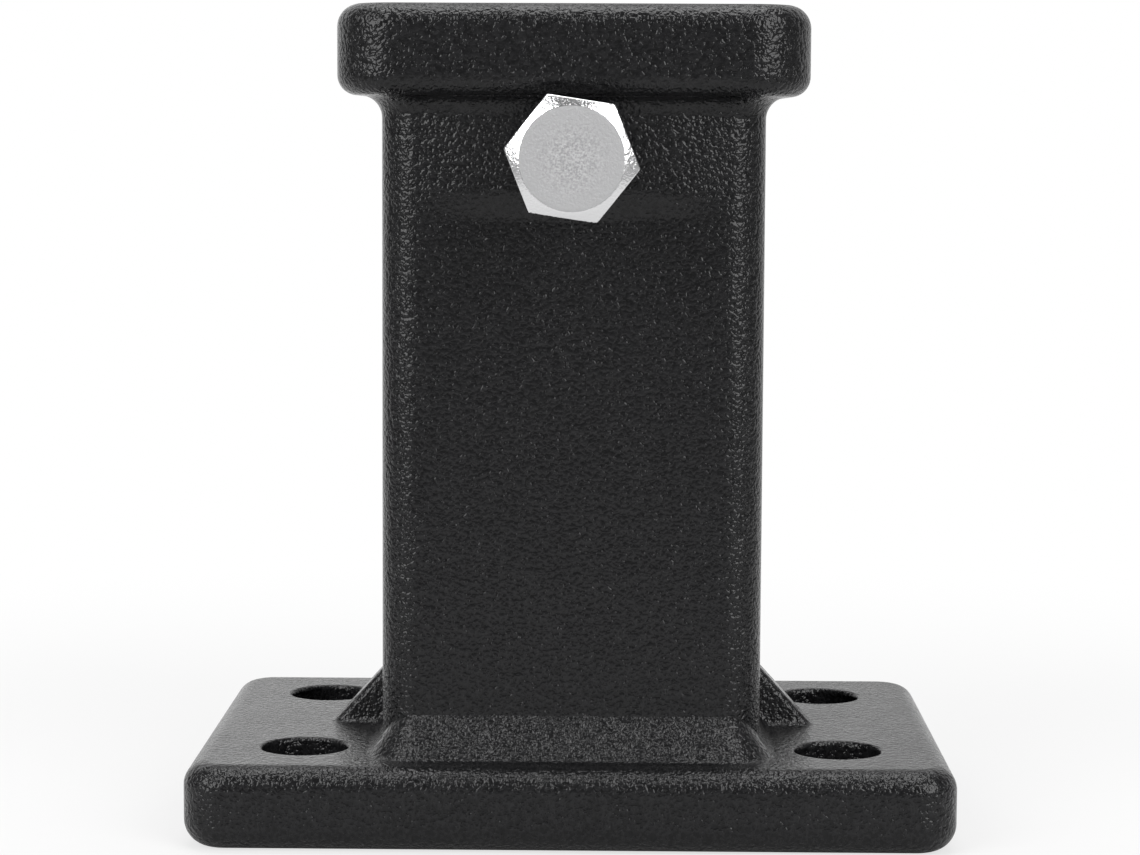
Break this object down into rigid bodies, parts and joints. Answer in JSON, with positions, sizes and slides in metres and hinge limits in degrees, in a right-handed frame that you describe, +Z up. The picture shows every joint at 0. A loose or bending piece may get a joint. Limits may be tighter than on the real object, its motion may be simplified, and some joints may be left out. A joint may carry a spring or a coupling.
{
  "type": "hitch receiver adapter",
  "caption": "Cast hitch receiver on a bolt-on base plate: an upright square socket with a thick collar, side gussets and a hex clamp bolt through a boss in the front wall.",
  "frame": {"origin": "centre of the base plate's underside, on the axis of the socket", "axes": "+Z up the receiver tube to its mouth, -Y out of the front wall along the clamp bolt, X along the plate's long side"},
  "size_m": [0.1278, 0.0926, 0.1385],
  "materials": {
    "coated_iron": "black wrinkle powder coat, semi-gloss",
    "zinc_plated_steel": "bright zinc plate"
  },
  "bodies": {
    "receiver": {"receiver_casting": "coated_iron"},
    "bolt": {"clamp_bolt": "zinc_plated_steel"}
  },
  "joints": [
    {"name": "clamp_bolt_travel", "type": "slide", "parent": "receiver", "child": "bolt", "axis": [0, 1, 0], "range_m": [-0.007, 0.0035]}
  ]
}
